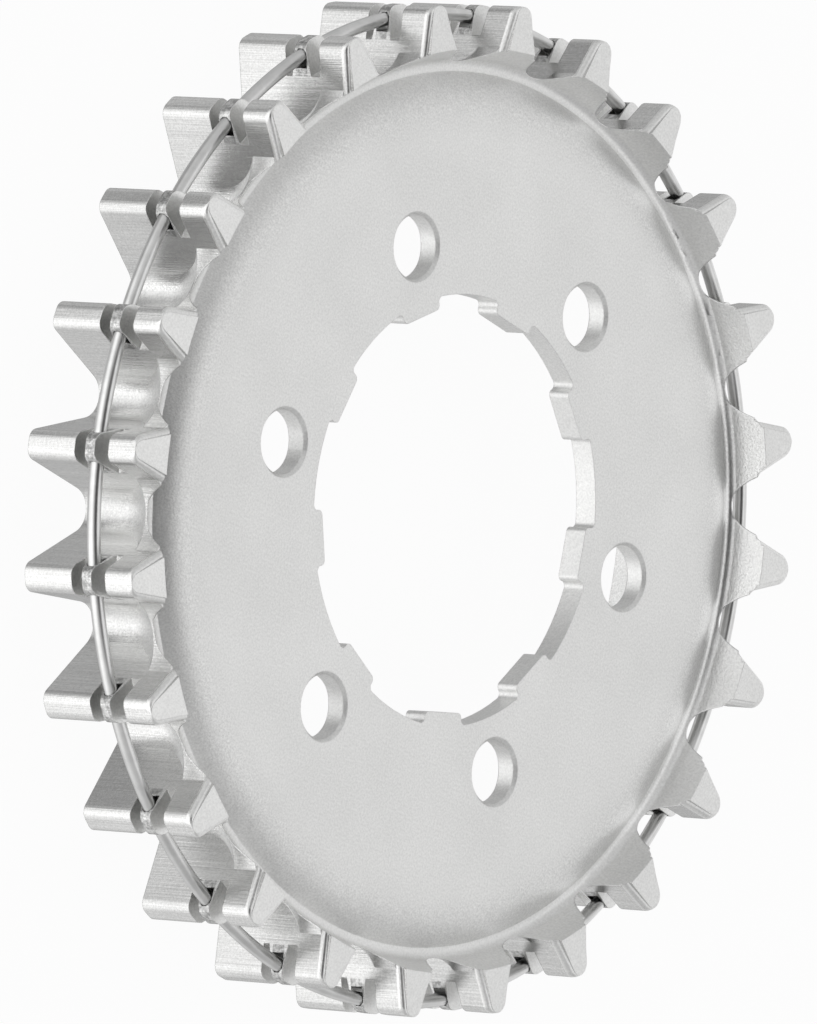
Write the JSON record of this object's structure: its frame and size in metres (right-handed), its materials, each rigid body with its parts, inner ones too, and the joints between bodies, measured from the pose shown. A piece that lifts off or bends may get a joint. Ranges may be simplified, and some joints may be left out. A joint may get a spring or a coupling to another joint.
{
  "type": "belt drive sprocket",
  "caption": "Front sprocket for a toothed drive belt: six-hole plate with a lugged bore, deep slotted teeth and a guide wire ring threaded through the webs of the teeth.",
  "frame": {"origin": "on the axis, at the plane of the rear rim on which the sprocket lies", "axes": "+Z along the axis towards the face with the bolt holes; +X through one bolt hole and one tooth space"},
  "size_m": [0.0814, 0.0814, 0.0116],
  "materials": {
    "cast_body": "bead-blasted satin",
    "wire": "drawn and polished"
  },
  "bodies": {
    "root": {"toothed_body": "cast_body", "guide_ring": "wire"}
  },
  "joints": []
}
